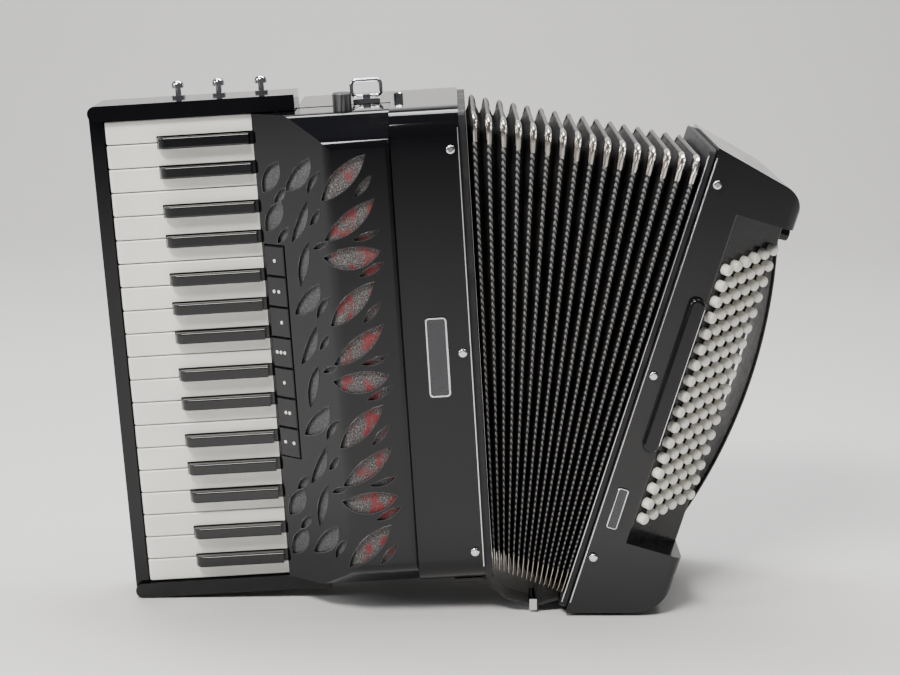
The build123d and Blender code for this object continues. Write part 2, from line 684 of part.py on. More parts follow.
# the origin goes to the middle of the footprint of the whole object, on the floor
boxes = [solid.bounding_box() for solids in placed.values() for solid in solids]
middle_x = (min(b.min.X for b in boxes) + max(b.max.X for b in boxes)) / 2
middle_y = (min(b.min.Y for b in boxes) + max(b.max.Y for b in boxes)) / 2
lowest = min(b.min.Z for b in boxes)
centre_shift = Pos(-middle_x, -middle_y, -lowest)
print("centre shift", -round(middle_x, 4), -round(middle_y, 4), -round(lowest, 4))
for name, solids in placed.items():
    moved = [centre_shift * solid for solid in solids]
    export_step(Compound(moved) if len(moved) > 1 else moved[0], f"parts/{name}.step")
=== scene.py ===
from math import atan2, cos, pi, radians, sin, sqrt

import bmesh
import bpy
from mathutils import Matrix, Vector


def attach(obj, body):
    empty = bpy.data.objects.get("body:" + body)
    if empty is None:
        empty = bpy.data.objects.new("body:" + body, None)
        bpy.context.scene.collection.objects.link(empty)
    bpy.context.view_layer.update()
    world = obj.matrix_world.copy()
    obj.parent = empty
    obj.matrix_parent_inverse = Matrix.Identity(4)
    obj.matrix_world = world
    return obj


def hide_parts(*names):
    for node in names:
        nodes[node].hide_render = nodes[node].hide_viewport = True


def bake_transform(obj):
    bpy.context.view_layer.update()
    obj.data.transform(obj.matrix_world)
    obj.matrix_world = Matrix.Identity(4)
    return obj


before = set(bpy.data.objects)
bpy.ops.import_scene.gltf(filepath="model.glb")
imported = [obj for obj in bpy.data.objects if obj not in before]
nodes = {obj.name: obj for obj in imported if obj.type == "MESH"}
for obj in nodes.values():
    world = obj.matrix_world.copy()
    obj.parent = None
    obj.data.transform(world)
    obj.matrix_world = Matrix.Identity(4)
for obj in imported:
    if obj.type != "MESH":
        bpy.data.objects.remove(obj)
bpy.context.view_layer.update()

# ---- the two leaning sides, as in the model: millimetres in each side's own frame, out in metres ----
TREBLE_LEAN = radians(3.5)
BASS_LEAN = radians(16.65)
SHIFT_X, SHIFT_Y = -259.1245, -38.8
BASS_CORNER_X, FOOT_HEIGHT, BASS_DROP = 360.0, 3.0, 7.0


def treble(x, y, z):
    wide = x * cos(TREBLE_LEAN) - z * sin(TREBLE_LEAN) + SHIFT_X
    high = x * sin(TREBLE_LEAN) + z * cos(TREBLE_LEAN)
    return Vector((wide, y + SHIFT_Y, high)) / 1000


def bass(x, y, z):
    wide = BASS_CORNER_X + x * cos(BASS_LEAN) + z * sin(BASS_LEAN) + SHIFT_X
    high = FOOT_HEIGHT - x * sin(BASS_LEAN) + z * cos(BASS_LEAN)
    return Vector((wide, y + SHIFT_Y, high)) / 1000


def treble_local(point):
    wide, high = point[0] * 1000 - SHIFT_X, point[2] * 1000
    along = wide * cos(TREBLE_LEAN) + high * sin(TREBLE_LEAN)
    return along, point[1] * 1000 - SHIFT_Y, high * cos(TREBLE_LEAN) - wide * sin(TREBLE_LEAN)


def bass_local(point):
    wide, high = point[0] * 1000 - SHIFT_X - BASS_CORNER_X, point[2] * 1000 - FOOT_HEIGHT
    along = wide * cos(BASS_LEAN) - high * sin(BASS_LEAN)
    return along, point[1] * 1000 - SHIFT_Y, wide * sin(BASS_LEAN) + high * cos(BASS_LEAN)


# ---- materials ----------------------------------------------------------------------------------
def material(name, colour, roughness, metallic=0.0, coat=0.0, specular=0.5):
    mat = bpy.data.materials.new(name)
    mat.use_nodes = True
    shader = mat.node_tree.nodes["Principled BSDF"]
    shader.inputs["Base Color"].default_value = (*colour, 1)
    shader.inputs["Roughness"].default_value = roughness
    shader.inputs["Metallic"].default_value = metallic
    shader.inputs["Coat Weight"].default_value = coat
    shader.inputs["Coat Roughness"].default_value = 0.06
    shader.inputs["Specular IOR Level"].default_value = specular
    return mat, shader


def add(mat, kind, **values):
    node = mat.node_tree.nodes.new(kind)
    for key, value in values.items():
        if key in node.inputs.keys():
            node.inputs[key].default_value = value
        else:
            setattr(node, key, value)
    return node


def link(mat, source, target):
    mat.node_tree.links.new(source, target)


def noise(mat, scale, detail=3.0, roughness=0.5, stretch=(1, 1, 1)):
    place = add(mat, "ShaderNodeTexCoord")
    mapping = add(mat, "ShaderNodeMapping")
    mapping.inputs["Scale"].default_value = stretch
    texture = add(mat, "ShaderNodeTexNoise", Scale=scale, Detail=detail, Roughness=roughness)
    link(mat, place.outputs["Object"], mapping.inputs["Vector"])
    link(mat, mapping.outputs["Vector"], texture.inputs["Vector"])
    return texture


def ramp(mat, source, stops):
    node = add(mat, "ShaderNodeValToRGB")
    while len(node.color_ramp.elements) < len(stops):
        node.color_ramp.elements.new(0.5)
    for element, (place, value) in zip(node.color_ramp.elements, stops):
        element.position = place
        element.color = (*value, 1) if isinstance(value, tuple) else (value, value, value, 1)
    link(mat, source, node.inputs["Fac"])
    return node


def bump(mat, shader, source, strength, distance):
    node = add(mat, "ShaderNodeBump", Strength=strength, Distance=distance)
    link(mat, source, node.inputs["Height"])
    link(mat, node.outputs["Normal"], shader.inputs["Normal"])
    return node


def gloss(name, colour, low, high, coat=0.6, wave=0.00015, specular=0.5):
    """Polished celluloid or plastic with faint smears, fine scratches and a little waviness."""
    mat, shader = material(name, colour, low, coat=coat, specular=specular)
    smear = noise(mat, 38, 6, 0.65)
    rough = ramp(mat, smear.outputs["Fac"], [(0.42, low), (0.72, high)])
    link(mat, rough.outputs["Color"], shader.inputs["Roughness"])
    tint = noise(mat, 9, 4)
    lighter = tuple(min(1.0, c * 1.25) for c in colour)
    shade = ramp(mat, tint.outputs["Fac"], [(0.35, colour), (0.75, lighter)])
    link(mat, shade.outputs["Color"], shader.inputs["Base Color"])
    swell = noise(mat, 14, 1)
    bump(mat, shader, swell.outputs["Fac"], 0.35, wave)
    return mat


def chrome(name, colour, low=0.06, high=0.22, pits=0.08):
    mat, shader = material(name, colour, low, metallic=1.0)
    wear = noise(mat, 260, 5, 0.7)
    rough = ramp(mat, wear.outputs["Fac"], [(0.4, low), (0.75, high)])
    link(mat, rough.outputs["Color"], shader.inputs["Roughness"])
    tint = noise(mat, 60, 2)
    shade = ramp(mat, tint.outputs["Fac"], [(0.3, colour), (0.8, tuple(c * 0.86 for c in colour))])
    link(mat, shade.outputs["Color"], shader.inputs["Base Color"])
    bump(mat, shader, wear.outputs["Fac"], pits, 0.0001)
    return mat


def leather(name, colour):
    mat, shader = material(name, colour, 0.42, specular=0.45)
    cells = add(mat, "ShaderNodeTexVoronoi", Scale=900.0, feature="F1")
    place = add(mat, "ShaderNodeTexCoord")
    link(mat, place.outputs["Object"], cells.inputs["Vector"])
    wrinkle = noise(mat, 160, 6, 0.6)
    mix = add(mat, "ShaderNodeMath", operation="MULTIPLY_ADD")
    mix.inputs[1].default_value = 0.5
    link(mat, cells.outputs["Distance"], mix.inputs[0])
    link(mat, wrinkle.outputs["Fac"], mix.inputs[2])
    bump(mat, shader, mix.outputs[0], 0.5, 0.0006)
    rubbed = tuple(c * 2.1 + 0.004 for c in colour)
    shade = ramp(mat, wrinkle.outputs["Fac"], [(0.35, colour), (0.75, rubbed)])
    link(mat, shade.outputs["Color"], shader.inputs["Base Color"])
    rough = ramp(mat, wrinkle.outputs["Fac"], [(0.3, 0.36), (0.8, 0.55)])
    link(mat, rough.outputs["Color"], shader.inputs["Roughness"])
    return mat


def grille_cloth(name, base, fleck, red):
    """Cloth on a fine mesh: silvery flecks, dark pinholes and, on the front, worn red patches."""
    mat, shader = material(name, base, 0.55, specular=0.6)
    speck = noise(mat, 900, 3, 0.8)
    patch = noise(mat, 95, 3, 0.6, (1, 1, 0.6))
    weave = add(mat, "ShaderNodeTexVoronoi", Scale=1300.0)
    place = add(mat, "ShaderNodeTexCoord")
    link(mat, place.outputs["Object"], weave.inputs["Vector"])
    pinhole = tuple(c * 0.35 for c in base)
    ground = ramp(mat, speck.outputs["Fac"], [(0.3, pinhole), (0.5, base), (0.68, fleck)])
    if red is not None:
        where = ramp(mat, patch.outputs["Fac"], [(0.5, 0.0), (0.62, 0.8)])
        mix = add(mat, "ShaderNodeMix", data_type="RGBA")
        link(mat, where.outputs["Color"], mix.inputs[0])
        link(mat, ground.outputs["Color"], mix.inputs[6])
        mix.inputs[7].default_value = (*red, 1)
        link(mat, mix.outputs[2], shader.inputs["Base Color"])
    else:
        link(mat, ground.outputs["Color"], shader.inputs["Base Color"])
    shine = ramp(mat, speck.outputs["Fac"], [(0.45, 0.0), (0.7, 0.55)])
    link(mat, shine.outputs["Color"], shader.inputs["Metallic"])
    bump(mat, shader, weave.outputs["Distance"], 0.7, 0.0005)
    return mat


def fold_cloth(name):
    """Book cloth over card, with its fine weave and paler rubbed ridges."""
    mat, shader = material(name, (0.012, 0.012, 0.014), 0.5, specular=0.4)
    weave = noise(mat, 1500, 2, 0.6)
    rub = noise(mat, 45, 5, 0.6)
    shade = ramp(mat, rub.outputs["Fac"], [(0.4, (0.008, 0.008, 0.01)), (0.8, (0.03, 0.028, 0.03))])
    link(mat, shade.outputs["Color"], shader.inputs["Base Color"])
    rough = ramp(mat, rub.outputs["Fac"], [(0.3, 0.34), (0.7, 0.6)])
    link(mat, rough.outputs["Color"], shader.inputs["Roughness"])
    bump(mat, shader, weave.outputs["Fac"], 0.5, 0.0003)
    return mat


def braid(name):
    """The two-coloured twisted binding along each ridge: slanting pale and dark threads."""
    mat, shader = material(name, (0.3, 0.29, 0.28), 0.5, specular=0.5)
    place = add(mat, "ShaderNodeTexCoord")
    split = add(mat, "ShaderNodeSeparateXYZ")
    link(mat, place.outputs["Object"], split.inputs[0])
    along = add(mat, "ShaderNodeMath", operation="ADD")
    link(mat, split.outputs["Z"], along.inputs[0])
    link(mat, split.outputs["Y"], along.inputs[1])
    slant = add(mat, "ShaderNodeMath", operation="MULTIPLY_ADD")
    slant.inputs[1].default_value = 0.9
    link(mat, split.outputs["X"], slant.inputs[0])
    link(mat, along.outputs[0], slant.inputs[2])
    turns = add(mat, "ShaderNodeMath", operation="MULTIPLY")
    turns.inputs[1].default_value = 2 * pi / 0.0052
    link(mat, slant.outputs[0], turns.inputs[0])
    wave = add(mat, "ShaderNodeMath", operation="SINE")
    link(mat, turns.outputs[0], wave.inputs[0])
    half = add(mat, "ShaderNodeMath", operation="MULTIPLY_ADD")
    half.inputs[1].default_value = 0.5
    half.inputs[2].default_value = 0.5
    link(mat, wave.outputs[0], half.inputs[0])
    shade = ramp(mat, half.outputs[0], [(0.3, (0.008, 0.008, 0.008)), (0.62, (0.17, 0.165, 0.16))])
    link(mat, shade.outputs["Color"], shader.inputs["Base Color"])
    bump(mat, shader, half.outputs[0], 0.8, 0.0007)
    return mat


def wood(name):
    mat, shader = material(name, (0.5, 0.34, 0.18), 0.55)
    grain = noise(mat, 60, 6, 0.6, (12, 12, 1))
    shade = ramp(mat, grain.outputs["Fac"], [(0.35, (0.3, 0.18, 0.08)), (0.65, (0.6, 0.42, 0.23))])
    link(mat, shade.outputs["Color"], shader.inputs["Base Color"])
    bump(mat, shader, grain.outputs["Fac"], 0.3, 0.0004)
    return mat


BLACK = gloss("black_celluloid", (0.003, 0.003, 0.004), 0.05, 0.14, coat=0.6, specular=0.1)
BASS_BLACK = gloss("bass_celluloid", (0.007, 0.007, 0.008), 0.12, 0.26, coat=0.5, specular=0.25)
BLACK_PLASTIC = gloss("black_plastic", (0.006, 0.006, 0.007), 0.12, 0.28, coat=0.4, specular=0.2)
KEY_BLACK = gloss("key_black", (0.004, 0.004, 0.005), 0.08, 0.2, coat=0.7, specular=0.2)
KEY_WHITE = gloss("key_white", (0.8, 0.79, 0.74), 0.16, 0.3, coat=0.5, wave=0.00008)
BUTTON_WHITE = gloss("button_white", (0.82, 0.8, 0.74), 0.2, 0.34, coat=0.4, wave=0.00005)
CHROME = chrome("chrome", (0.82, 0.82, 0.84))
CAP_METAL = chrome("cap_metal", (0.92, 0.88, 0.82), 0.16, 0.24, 0.01)
# darker, warmer copy of the cap metal for the lower corner caps: painted shade and a painted warm reflection
SHADED_CAP_METAL = chrome("cap_metal_painted_shade", (0.72, 0.66, 0.55), 0.14, 0.3, 0.02)
STEEL = chrome("drawn_steel", (0.55, 0.55, 0.56), 0.2, 0.4)
LEATHER = leather("black_leather", (0.012, 0.011, 0.011))
WORN_RED = (0.22, 0.008, 0.014)
CLOTH_FRONT = grille_cloth("grille_cloth_front", (0.05, 0.045, 0.045), (0.4, 0.38, 0.37), WORN_RED)
# the same cloth on the slope, with darker flecks and no red patches: painted shade on the side turned from
# the light
SHADED_CLOTH_SIDE = grille_cloth("grille_cloth_side_painted_shade", (0.05, 0.05, 0.052), (0.22, 0.22, 0.225), None)
FOLDS = fold_cloth("bellows_cloth")
BRAID = braid("bellows_braid")
WOOD = wood("reed_wood")


def paint(name, mat):
    node = nodes[name]
    node.data.materials.clear()
    node.data.materials.append(mat)


for name in nodes:
    if name.startswith("white_key"):
        paint(name, KEY_WHITE)
    if name.startswith("black_key"):
        paint(name, KEY_BLACK)
    if name.startswith("register_tab"):
        paint(name, BLACK_PLASTIC)
    if name.startswith("chin_switch"):
        paint(name, CHROME)
for name in ("treble_casing", "keyboard_bed", "grille_cover"):
    paint(name, BLACK)
paint("bass_casing", BASS_BLACK)
paint("bass_buttons", BUTTON_WHITE)
paint("air_button", BLACK_PLASTIC)
paint("axle_rods", STEEL)
paint("treble_reed_blocks", WOOD)
paint("bass_reed_blocks", WOOD)


def finish_by_place(name, finishes, chosen, local):
    """Gives each face of a node one of several finishes, by where its centre is."""
    node = nodes[name]
    node.data.materials.clear()
    for mat in finishes:
        node.data.materials.append(mat)
    for face in node.data.polygons:
        face.material_index = chosen(*local(node.matrix_world @ face.center))


def treble_fitting(x, y, z):
    return 1 if z > 402.6 and y < 0 and x < 214 else 0


def bass_fitting(x, y, z):
    if z < 30:
        return 2
    return 1 if x > 15.4 and y < -45.5 and 150 < z < 286 else 0


def strap_clasp(x, y, z):
    return 1 if 0.0717 < x < 0.0779 else 0


def knurled(name):
    """Ribbed dark rubber, the rib lines running up the knob; the rib tops are painted lighter and the
    grooves darker, as painted light and shade.
    """
    mat, shader = material(name, (0.03, 0.03, 0.032), 0.5)
    rib_relief_and_shade = noise(mat, 700, 1, 0.4, (1, 1, 0.02))
    # colour follows the rib height: painted shade in the grooves, painted highlight on the rib tops
    shade = ramp(mat, rib_relief_and_shade.outputs["Fac"], [(0.4, (0.012, 0.012, 0.013)), (0.6, (0.09, 0.09, 0.095))])
    link(mat, shade.outputs["Color"], shader.inputs["Base Color"])
    bump(mat, shader, rib_relief_and_shade.outputs["Fac"], 1.0, 0.0012)
    return mat


BOARD = gloss("button_board", (0.005, 0.005, 0.006), 0.25, 0.4, coat=0.15, specular=0.15)
paint("bass_button_board", BOARD)
KNOB = knurled("knurled_rubber")
RUBBER = leather("foot_rubber", (0.02, 0.02, 0.02))
finish_by_place("treble_fittings", [CHROME, KNOB], treble_fitting, treble_local)
finish_by_place("bass_fittings", [CHROME, BLACK_PLASTIC, RUBBER], bass_fitting, bass_local)
finish_by_place("bellows_strap", [LEATHER, CHROME], strap_clasp, tuple)


# ---- mesh helpers -------------------------------------------------------------------------------
def mesh_object(name, vertices, faces, materials, face_material=None):
    mesh = bpy.data.meshes.new(name)
    mesh.from_pydata([tuple(v) for v in vertices], [], faces)
    for mat in materials:
        mesh.materials.append(mat)
    if face_material:
        mesh.polygons.foreach_set("material_index", face_material)
    mesh.validate()
    piece = bpy.data.objects.new(name, mesh)
    bpy.context.collection.objects.link(piece)
    bm = bmesh.new()
    bm.from_mesh(mesh)
    bmesh.ops.recalc_face_normals(bm, faces=bm.faces)
    bm.to_mesh(mesh)
    bm.free()
    mesh.polygons.foreach_set("use_smooth", [True] * len(mesh.polygons))
    mesh.set_sharp_from_angle(angle=radians(40))
    return piece


def stitched(loops, ring=False):
    """Faces between loops of equal length: the ends are closed, or ring joins the last loop to the first."""
    count = len(loops[0])
    vertices = [point for loop in loops for point in loop]
    faces = []
    last = len(loops) if ring else len(loops) - 1
    for number in range(last):
        here = number * count
        there = (number + 1) % len(loops) * count
        for index in range(count):
            step = (index + 1) % count
            faces.append((here + index, here + step, there + step, there + index))
    if not ring:
        faces.append(tuple(range(count)))
        faces.append(tuple(range(len(vertices) - count, len(vertices)))[::-1])
    return vertices, faces


def rounded_rectangle(low, high, radius, steps=4):
    """Points round a rectangle in two coordinates, with rounded corners."""
    corners = [(high[0], high[1], 0), (low[0], high[1], 1), (low[0], low[1], 2), (high[0], low[1], 3)]
    points = []
    for a, b, quarter in corners:
        centre_a = a - radius if a == high[0] else a + radius
        centre_b = b - radius if b == high[1] else b + radius
        for step in range(steps + 1):
            turn = (quarter + step / steps) * pi / 2
            points.append((centre_a + radius * cos(turn), centre_b + radius * sin(turn)))
    return points


# ---- bellows: one piece for each fold, bent between the two sides --------------------------------
FOLDS_COUNT = 16
FOLD_DEPTH = 14.0
FOLD_Y = (-46.0, 109.0)
FOLD_Z = (20.0, 398.0)
FRAME_X = 302.2


def fan(part, y, z):
    """A point of the folded tube: part runs from 0 at the treble frame to 1 at the bass frame."""
    left = treble(FRAME_X, y, z)
    right = bass(-6.2, y, z - BASS_DROP)
    return left.lerp(right, part)


def fan_loop(part, inset, radius, steps=4):
    low = (FOLD_Y[0] + inset, FOLD_Z[0] + inset)
    high = (FOLD_Y[1] - inset, FOLD_Z[1] - inset)
    return [fan(part, y, z) for y, z in rounded_rectangle(low, high, radius, steps)]


def bend_fold(piece):
    """Bakes the piece's placement into its mesh: its points, from fan, already turn by the fold's share of
    the bellows' angle.
    """
    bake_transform(piece)


CORNER_ROUND = 11.0
# across the ridge as a share of half a fold, and millimetres under the ridge: outside, then inside
CAP_SECTION = [
    (-0.62, 7.6), (-0.56, 4.6), (-0.46, 2.2), (-0.30, 0.5), (-0.10, -0.5),
    (0.10, -0.5), (0.30, 0.5), (0.46, 2.2), (0.56, 4.6), (0.62, 7.6),
    (0.5, 7.4), (0.25, 3.0), (-0.25, 3.0), (-0.5, 7.4),
]


def corner_path(y_side, z_side):
    """Points along a ridge past one rounded corner: place, and the direction into the tube."""
    y_in = 1 if y_side == 0 else -1
    z_in = 1 if z_side == 0 else -1
    centre_y = FOLD_Y[y_side] + y_in * CORNER_ROUND
    centre_z = FOLD_Z[z_side] + z_in * CORNER_ROUND
    spots = []
    for reach in (10.5, 9.5, 6.0, 3.0):
        spots.append((FOLD_Y[y_side], centre_z + z_in * reach, y_in, 0.0, 1.0 - reach / 14))
    for step in range(9):
        turn = step / 8 * pi / 2
        spots.append((centre_y - y_in * CORNER_ROUND * cos(turn), centre_z - z_in * CORNER_ROUND * sin(turn),
                      y_in * cos(turn), z_in * sin(turn), 1.0))
    for reach in (2.0, 4.0, 6.0, 6.8):
        spots.append((centre_y + y_in * reach, FOLD_Z[z_side], 0.0, z_in, 1.0 - reach / 12))
    return spots


def corner_cap(begin, ridge, finish, y_side, z_side):
    """A folded metal cap over one corner of a ridge: it wraps both slopes of the fold."""
    half = (finish - begin) / 2
    loops = []
    for y, z, in_y, in_z, share in corner_path(y_side, z_side):
        loop = []
        for across, depth in CAP_SECTION:
            sunk = depth * (0.4 + 0.6 * share)
            loop.append(fan(ridge + across * half * (0.75 + 0.2 * share), y + in_y * sunk, z + in_z * sunk))
        loops.append(loop)
    return stitched(loops)


def binding(part_ridge, spread):
    """The bead of twisted binding that runs round a ridge."""
    loops = []
    for step in range(8):
        turn = step * pi / 4
        inset = 1.5 - 1.7 * cos(turn)
        loops.append(fan_loop(part_ridge + spread * sin(turn), inset, CORNER_ROUND - inset, 8))
    return stitched(loops, ring=True)


def fold(number):
    begin, finish = number / FOLDS_COUNT, (number + 1) / FOLDS_COUNT
    ridge = (begin + finish) / 2
    nib = (finish - begin) * 0.035
    outer = [
        fan_loop(begin, FOLD_DEPTH, 2.0, 8),
        fan_loop((begin + ridge) / 2, FOLD_DEPTH / 2 + 0.4, 5.5, 8),
        fan_loop(ridge - nib, 0.6, CORNER_ROUND - 0.6, 8),
        fan_loop(ridge + nib, 0.6, CORNER_ROUND - 0.6, 8),
        fan_loop((finish + ridge) / 2, FOLD_DEPTH / 2 + 0.4, 5.5, 8),
        fan_loop(finish, FOLD_DEPTH, 2.0, 8),
    ]
    inner = [
        fan_loop(finish, FOLD_DEPTH + 1.6, 2.0, 8),
        fan_loop(ridge, 2.6, CORNER_ROUND - 2.6, 8),
        fan_loop(begin, FOLD_DEPTH + 1.6, 2.0, 8),
    ]
    vertices, faces = stitched(outer + inner, ring=True)
    slots = [0] * len(faces)
    pieces = [(binding(ridge, (finish - begin) * 0.155), 1)]
    for y_side in (0, 1):
        for z_side in (0, 1):
            # top corner caps take the bright cap metal, the lower ones its darker copy: painted shade
            pieces.append((corner_cap(begin, ridge, finish, y_side, z_side), 2 if z_side else 3))
    for (more_vertices, more_faces), slot in pieces:
        base = len(vertices)
        vertices += more_vertices
        faces += [tuple(base + index for index in face) for face in more_faces]
        slots += [slot] * len(more_faces)
    name = f"bellows_fold_{number + 1:02d}"
    piece = mesh_object(name, vertices, faces, [FOLDS, BRAID, CAP_METAL, SHADED_CAP_METAL], slots)
    bend_fold(piece)
    return piece


fold_pieces = [fold(number) for number in range(FOLDS_COUNT)]


def end_frame(name, place, x, y, z, body):
    """The wooden frame at one end of the bellows, covered in black cloth with rounded edges."""
    loops = []
    for inset, offset in (
        (0, 0.0), (0, 0.8), (0, 5.2), (0.8, 6.0), (17.2, 6.0), (18, 5.2), (18, 0.8), (17.2, 0.0),
    ):
        corner = 5.0 if inset < 5 else 2.0
        ring = rounded_rectangle((y[0] + inset, z[0] + inset), (y[1] - inset, z[1] - inset), corner)
        loops.append([place(x + offset, a, b) for a, b in ring])
    vertices, faces = stitched(loops, ring=True)
    piece = mesh_object(name, vertices, faces, [FOLDS])
    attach(piece, body)


end_frame("bellows_frame_treble", treble, 296.0, (-49.5, 112.5), (15.5, 400.5), "treble")
end_frame("bellows_frame_bass", bass, -6.0, (-43.5, 109.5), (3.0, 399.5), "bass")
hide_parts("bellows")


# ---- trim lines, dots and plates ----------------------------------------------------------------
def tube(name, points, radius, mat, body, sides=8):
    """A thin round bar through the points."""
    curve = bpy.data.curves.new(name, "CURVE")
    curve.dimensions = "3D"
    curve.bevel_depth = radius / 1000
    curve.bevel_resolution = sides // 2
    curve.use_fill_caps = True
    spline = curve.splines.new("POLY")
    spline.points.add(len(points) - 1)
    for spot, point in zip(spline.points, points):
        spot.co = (*point, 1)
    curve.materials.append(mat)
    source = bpy.data.objects.new(name + "_curve", curve)
    bpy.context.collection.objects.link(source)
    mesh = bpy.data.meshes.new_from_object(source.evaluated_get(bpy.context.evaluated_depsgraph_get()))
    bpy.data.objects.remove(source)
    piece = bpy.data.objects.new(name, mesh)
    bpy.context.collection.objects.link(piece)
    for polygon in mesh.polygons:
        polygon.use_smooth = True
    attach(piece, body)


tube("trim_bass_inner", [bass(-5.2, -43.9, z) for z in (8, 140, 270, 394)], 0.55, CHROME, "bass")
tube("trim_bass_outer", [bass(1.2, -46.1, z) for z in (10, 140, 270, 394)], 0.55, CHROME, "bass")
tube("hand_rest_edge", [bass(28.6, -52.2, z) for z in (160, 200, 240, 277)], 0.5, CHROME, "bass")
tube("trim_treble", [treble(295.0, -52.1, z) for z in (28, 150, 270, 388)], 0.5, CHROME, "treble")


def dome(name, centre, across, up, out, radius, height, mat, body):
    """A small domed stud: centre on a surface, two directions in it and one out of it."""
    loops = []
    rings = 5
    for ring in range(rings):
        turn = ring / rings * pi / 2
        r, h = radius * cos(turn), height * sin(turn)
        spots = [step * pi / 8 for step in range(16)]
        loops.append([centre + (across * cos(s) + up * sin(s)) * r + out * h for s in spots])
    loops.insert(0, [point - out * 0.8 for point in loops[0]])
    vertices, faces = stitched(loops)
    piece = mesh_object(name, vertices, faces, [mat])
    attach(piece, body)


SLOPE = atan2(-50, 59)
SLOPE_START = Vector((131, -6, 0))
SLOPE_ALONG = Vector((cos(SLOPE), sin(SLOPE), 0))
SLOPE_OUT = Vector((sin(SLOPE), -cos(SLOPE), 0))
LEAN = Matrix.Rotation(-TREBLE_LEAN, 3, "Y")


def slope_spot(along, out, z):
    local = SLOPE_START + Vector((0, 0, z)) + SLOPE_ALONG * along + SLOPE_OUT * out
    return treble(*local)


TAB_TOP, TAB_PITCH = 297.3, 25.4
TAB_DOTS = [(0.5,), (0.35, 0.6), (0.62,), (0.25, 0.45, 0.65), (0.5,), (0.45, 0.65), (0.3, 0.75)]
DOT = gloss("white_dot", (0.85, 0.84, 0.8), 0.25, 0.4, coat=0.2)
for number, dots in enumerate(TAB_DOTS):
    z = TAB_TOP - (number + 0.5) * TAB_PITCH
    for index, share in enumerate(dots):
        along = 3.5 + share * 21.5
        dome(
            f"tab_{number + 1}_dot_{index + 1}", slope_spot(along, 1.2, z), LEAN @ SLOPE_ALONG / 1000,
            LEAN @ Vector((0, 0, 1)) / 1000, LEAN @ SLOPE_OUT / 1000, 1.5, 0.7, DOT,
            f"register_tab_{number + 1}_body",
        )


def plate(name, place, x, z, y_face, radius, rim, body, inner_mat):
    """A blank name plate: a raised metal rim round a dark enamelled field."""
    loops = []
    for inset, height in ((0, 0.0), (0, 1.5), (0.3, 1.8), (rim, 1.8), (rim + 0.3, 1.4)):
        low_corner, high_corner = (x[0] + inset, z[0] + inset), (x[1] - inset, z[1] - inset)
        ring = rounded_rectangle(low_corner, high_corner, max(radius - inset, 0.6))
        loops.append([place(a, y_face - height, b) for a, b in ring])
    vertices, faces = stitched(loops)
    slots = [0] * len(faces)
    slots[-1] = 1
    piece = mesh_object(name, vertices, faces, [CHROME, inner_mat], slots)
    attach(piece, body)


FIELD = gloss("plate_field", (0.03, 0.03, 0.035), 0.2, 0.4, coat=0.3)
plate("treble_plate", treble, (259.8, 277.2), (172.8, 238.2), -52.0, 3.2, 1.3, "treble", FIELD)
plate("bass_plate", bass, (9.3, 18.2), (80.8, 116.2), -46.0, 2.2, 0.8, "bass", FIELD)


# ---- grille: cloth behind the openings and a bright rim round each leaf --------------------------
RIDGE_CENTRE, RIDGE_ROUND = (195.1, -42.0), 14.0


CLOTH_DEPTHS = (2.65, 3.25)


def cover_profile(depth, along_from, x_to):
    """The cover's front outline in X and Y, at a depth under its surface."""
    points = []
    for along in (along_from, (along_from + 70) / 2, 70):
        spot = SLOPE_START + SLOPE_ALONG * along - SLOPE_OUT * depth
        points.append((spot.x, spot.y))
    for step in range(1, 7):
        turn = SLOPE * (1 - step / 6)
        reach = RIDGE_ROUND - depth
        points.append((RIDGE_CENTRE[0] + reach * sin(turn), RIDGE_CENTRE[1] - reach * cos(turn)))
    points.append((x_to, -56 + depth))
    return points


def cloth_sheet(name, along_from, along_to, z_from, z_to):
    """A thin sheet of grille cloth under the cover, flat on the slope and round the ridge."""
    if along_to is None:
        front, back = [cover_profile(depth, along_from, 238.5) for depth in CLOTH_DEPTHS]
    else:
        ends = [SLOPE_START + SLOPE_ALONG * a for a in (along_from, along_to)]
        front, back = [[tuple((end - SLOPE_OUT * depth).xy) for end in ends] for depth in CLOTH_DEPTHS]
    outline = front + back[::-1]
    loops = [[treble(x, y, z) for x, y in outline] for z in (z_from, z_to)]
    vertices, faces = stitched(loops)
    # faces on the slope take the darker copy of the cloth: painted shade
    slots = [0 if max(treble_local(vertices[index])[0] for index in face) > 192 else 1 for face in faces]
    piece = mesh_object(name, vertices, faces, [CLOTH_FRONT, SHADED_CLOTH_SIDE], slots)
    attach(piece, "treble")
    return piece


main_cloth = cloth_sheet("grille_cloth_main", 27, None, 33.5, 376)
cloth_sheet("grille_cloth_upper", 3, 27, 300, 376)
cloth_sheet("grille_cloth_lower", 3, 27, 33.5, 117)
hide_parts("grille_mesh")


def cover_surface(x, z):
    """The point on the cover's outer face at this X and Z."""
    tangent = RIDGE_CENTRE[0] + RIDGE_ROUND * sin(SLOPE)
    if x >= RIDGE_CENTRE[0]:
        y = -56.0
    elif x >= tangent:
        y = RIDGE_CENTRE[1] - sqrt(RIDGE_ROUND ** 2 - (RIDGE_CENTRE[0] - x) ** 2)
    else:
        y = SLOPE_START.y + (x - SLOPE_START.x) * SLOPE_ALONG.y / SLOPE_ALONG.x
    return treble(x, y, z)


def arc(tip_a, tip_b, bulge, steps=10):
    """Points along the arc from tip to tip that bows to its left by the bulge."""
    a, b = Vector(tip_a), Vector(tip_b)
    chord = b - a
    side = Vector((-chord.y, chord.x)).normalized()
    half = chord.length / 2
    radius = (half * half + bulge * bulge) / (2 * bulge)
    spread = atan2(half, radius - bulge)
    middle = (a + b) / 2 - side * (radius - bulge)
    forward = chord.normalized()
    points = []
    for step in range(steps):
        turn = -spread + 2 * spread * step / steps
        points.append(middle + forward * radius * sin(turn) + side * radius * cos(turn))
    return points


LEAF_TOP, LEAF_PITCH, LEAF_ROWS = 354.4, 33.6, 10


